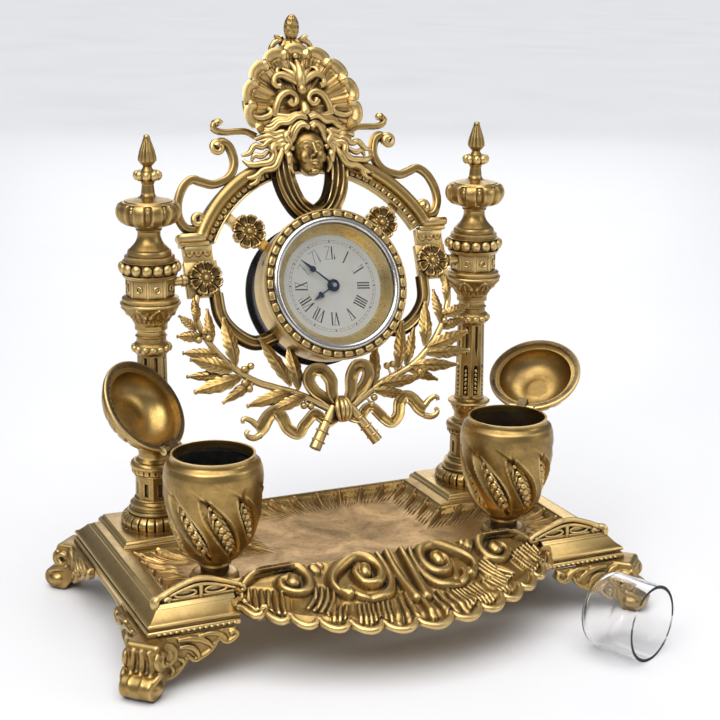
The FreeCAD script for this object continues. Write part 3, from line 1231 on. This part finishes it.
def spiral(inner, outer, turns, strip, z0, z1, centre):
    """A flat coil spring about a point, made of one strip."""
    points = [on_xy((inner + (outer - inner) * i / (8 * turns)) * math.cos(math.pi * i / 4),
                    (inner + (outer - inner) * i / (8 * turns)) * math.sin(math.pi * i / 4)) for i in range(8 * turns + 1)]
    plain = [(p.x, p.y) for p in points]
    return moved(ribbon(plain, (strip, strip), z0, z1, on_xy, 2), centre)


def mainspring():
    """The open mainspring round the winding arbor."""
    return spiral(1.6, 9.6, 5, 0.5, -4.6, 3.6, GREAT_POINT)


def hairspring():
    """The balance's hairspring."""
    return spiral(0.8, 3.8, 4, 0.2, PLATE_GAP_BOTTOM + 0.3, PLATE_GAP_BOTTOM + 0.9, BALANCE_POINT)


def pivot_holes(plate):
    """Bores a movement plate for the pivots of the train."""
    for point in (THIRD_POINT, FOURTH_POINT, ESCAPE_POINT, LEVER_POINT, BALANCE_POINT):
        plate = plate.cut(rod(PIVOT_R + RUNNING, point + V(0, 0, -20), point + V(0, 0, 20)))
    plate = plate.cut(rod(CENTRE_ARBOR_R + RUNNING, V(0, 0, -20), V(0, 0, 20)))
    return plate.cut(rod(1.2 + RUNNING, winding_point(-20), winding_point(20)))


def front_plate():
    """The movement's front plate, fixed to the back of the drum's ledge, with the motion wheel's stud."""
    disc = moved(Part.makeCylinder(DRUM_R - DRUM_WALL - 0.4, PLATE_THICKNESS), V(0, 0, PLATE_GAP_TOP))
    disc = pivot_holes(disc)
    for point in pillar_points(0):
        disc = disc.cut(rod(1.0, point, point + V(0, 0, 20)))
    stud = rod(0.6, MOTION_POINT + V(0, 0, PLATE_GAP_TOP),
               MOTION_POINT + V(0, 0, DIAL_FACE - DIAL_THICKNESS - 0.3))
    return joined([disc, stud])


def back_plate():
    """The movement's back plate."""
    disc = pivot_holes(moved(Part.makeCylinder(BACK_PLATE_R, PLATE_THICKNESS), V(0, 0, BACK_PLATE)))
    for point in pillar_points(0):
        disc = disc.cut(rod(1.0, point + V(0, 0, -20), point))
    return disc


def plate_pillars():
    """Four pillars between the plates, drilled at the back for the cover's screws."""
    pillars = []
    for point in pillar_points(0):
        base = V(point.x, point.y, PLATE_GAP_BOTTOM)
        top = V(point.x, point.y, PLATE_GAP_TOP)
        nose = rod(1.0, base - V(0, 0, PLATE_THICKNESS), top + V(0, 0, PLATE_THICKNESS))
        boss = rod(PILLAR_R + 0.8, V(point.x, point.y, COVER_BACK + 1.2), V(point.x, point.y, BACK_PLATE))
        pillar = joined([rod(PILLAR_R, base, top), nose, boss])
        pillars.append(pillar.cut(rod(1.0, V(point.x, point.y, COVER_BACK),
                                      V(point.x, point.y, BACK_PLATE - 0.6))))
    return Part.makeCompound(pillars)


def case_screws():
    """Four screws through the back cover into the pillars."""
    screws = []
    for point in pillar_points(COVER_BACK):
        head = Part.makeCylinder(2.4, 1.2, point - V(0, 0, 1.2))
        shank = rod(SCREW_R, point, point + V(0, 0, 1.2))
        thread = rod(1.0, point, V(point.x, point.y, BACK_PLATE - 0.6))
        screws.append(joined([head, shank, thread]))
    return Part.makeCompound(screws)


def motion_wheel():
    """The motion wheel and its pinion, on the front plate's stud."""
    z = FRONT_PLATE + 0.4
    wheel = toothed(MOTION_TEETH, MOTION_MODULE, 0.8, z, MOTION_DIRECTION + 180)
    pinion = toothed(MOTION_PINION, HOUR_MODULE, 1.0, z + 0.8, MOTION_DIRECTION + 180, gap=True)
    return moved(joined([wheel, pinion]).cut(rod(0.6 + RUNNING, V(0, 0, z - 1), V(0, 0, z + 4))),
                 MOTION_POINT)


def hand_angle(turn):
    """The direction of a hand, in degrees from +X, for a share of a full turn from twelve."""
    return 90.0 - 360.0 * turn


def spade(length, width, eye, z, thickness):
    """A spade hand along +X: a round eye, a narrow blade and a leaf-shaped spade."""
    neck, swell = 0.56 * length, 0.7 * length
    outline = [(0, 0.45), (neck, 0.3), (0.62 * length, 0.95 * width, swell, 0.5 * width), (length, 0.05),
               (length, -0.05),
               (swell, -0.5 * width), (0.62 * length, -0.95 * width, neck, -0.3), (0, -0.45)]
    blade = moved(face(outline, on_xy), V(0, 0, z)).extrude(V(0, 0, thickness))
    return joined([blade, Part.makeCylinder(eye, thickness, V(0, 0, z))])


def hour_hand():
    """The hour wheel, its tube and the hour hand on it."""
    wheel_z = FRONT_PLATE + 1.3
    z = HAND_PLANE
    wheel = toothed(HOUR_TEETH, HOUR_MODULE, 0.8, wheel_z, MOTION_DIRECTION)
    tube = rod(2.0, V(0, 0, wheel_z), V(0, 0, z + 0.4))
    hand = turned_by(spade(HOUR_HAND_LENGTH, 1.7, 3.0, z, 0.4), ZERO, Z_AXIS, hand_angle(HOUR_TIME / 12))
    return joined([wheel, tube, hand]).cut(rod(CENTRE_ARBOR_R + RUNNING, V(0, 0, 0), V(0, 0, 30)))


def minute_hand():
    """The minute hand with its collet, pressed on the centre arbor."""
    z = HAND_PLANE + 0.8
    hand = turned_by(spade(MINUTE_HAND_LENGTH, 1.5, 2.4, z, 0.4), ZERO, Z_AXIS, hand_angle(MINUTE_TIME / 60))
    collet = turned([(0, z), (1.9, z), (1.9, z + 0.7), (1.3, z + 1.1), (0, z + 1.1)])
    return joined([hand, collet]).cut(rod(HAND_HOLE_R, V(0, 0, 0), V(0, 0, 30)))


def set_knob():
    """The hand-setting knob behind the cover."""
    z = COVER_BACK - 0.6
    disc = moved(face(lobed_outline(20, 4.2, 3.9), on_xy), V(0, 0, z - 3.0)).extrude(V(0, 0, 2.4))
    collar = rod(2.2, V(0, 0, z - 0.6), V(0, 0, z))
    return joined([disc, collar]).cut(rod(CENTRE_ARBOR_R, V(0, 0, COVER_BACK - 2.0), V(0, 0, 0)))


def winding_key():
    """The winding arbor with its winged key behind the cover."""
    z = COVER_BACK
    staff = rod(1.2, winding_point(z - 6.0), winding_point(FRONT_PLATE))
    socket = rod(2.1, winding_point(z - 7.0), winding_point(z - 0.4))
    wing = face([(-7.0, z - 15.0), (-7.4, z - 10.0, -1.2, z - 7.0), (1.2, z - 7.0),
                 (7.4, z - 10.0, 7.0, z - 15.0),
                 (4.2, z - 17.6, 0.6, z - 14.0), (-0.6, z - 14.0), (-4.2, z - 17.6, -7.0, z - 15.0)])
    wing = moved(wing, V(GREAT_POINT.x, GREAT_POINT.y + 0.7, 0)).extrude(V(0, -1.4, 0))
    return joined([staff, socket, wing])


# ---- everything in place ----------------------------------------------------------------------

arch_frame_upright = arch_frame()
crest_shell_upright = crest_shell()
crest_mask_upright = crest_mask()
laurel_upright = laurel_branch()

parts = {"base_tray": base_tray(), "base_screws": base_screws(), "column_tie_rods": column_tie_rods(),
         "inkpot_spacers": inkpot_spacers(), "lid_hinge_pins": lid_hinge_pins(),
         "glass_liner_left": glass_liner_left(), "glass_liner_loose": glass_liner_loose()}

for one_side in ("left", "right"):
    parts["foot_front_" + one_side] = placed_foot(one_side, False)
    parts["foot_back_" + one_side] = placed_foot(one_side, True)
    parts["column_foot_" + one_side] = column_foot(one_side)
    parts["column_shaft_" + one_side] = column_shaft(one_side)
    parts["column_head_" + one_side] = column_head(one_side)
    parts["column_urn_" + one_side] = column_urn(one_side)
    parts["column_finial_" + one_side] = column_finial(one_side)
    parts["inkpot_" + one_side] = inkpot(one_side)
    parts["lid_" + one_side] = lid(one_side)

frame_pieces = {"arch_frame": arch_frame_upright, "pivot_pins": pivot_pins(), "rosettes": rosettes(),
                "shoulder_scrolls": Part.makeCompound(both_sides(shoulder_scroll())),
                "crest_shell": crest_shell_upright, "crest_mask": crest_mask_upright, "drapery_swag": drapery_swag(),
                "laurel_right": laurel_upright, "laurel_left": other_side(laurel_upright), "ribbon_bow": ribbon_bow()}

for clock_piece in (drum_case, bezel_ring, bezel_glass, sight_ring, dial, back_cover, front_plate,
                    back_plate,
                    plate_pillars, case_screws, mainspring, hairspring, great_wheel, centre_wheel, centre_arbor, third_wheel,
                    fourth_wheel, escape_wheel, pallet_lever, balance_wheel, motion_wheel, hour_hand, minute_hand,
                    set_knob, winding_key):
    frame_pieces[clock_piece.__name__] = clock_place(clock_piece())

for name, upright in frame_pieces.items():
    parts[name] = leaned(upright)

# The origin is on the table, under the middle of the whole object, from the loose liner to the crest.
turn = math.radians(LOOSE_LINER_TURN)
FRONT_EXTENT = -LOOSE_LINER_Y + LINER_HEIGHT / 2 * math.cos(turn) + LINER_R * math.sin(turn)
BACK_EXTENT = parts["crest_shell"].optimalBoundingBox(False, False).YMax
ORIGIN_SHIFT = V(0, (FRONT_EXTENT - BACK_EXTENT) / 2, 0)

os.makedirs("parts", exist_ok=True)
for name, shape in parts.items():
    moved(shape, ORIGIN_SHIFT).exportStep("parts/" + name + ".step")
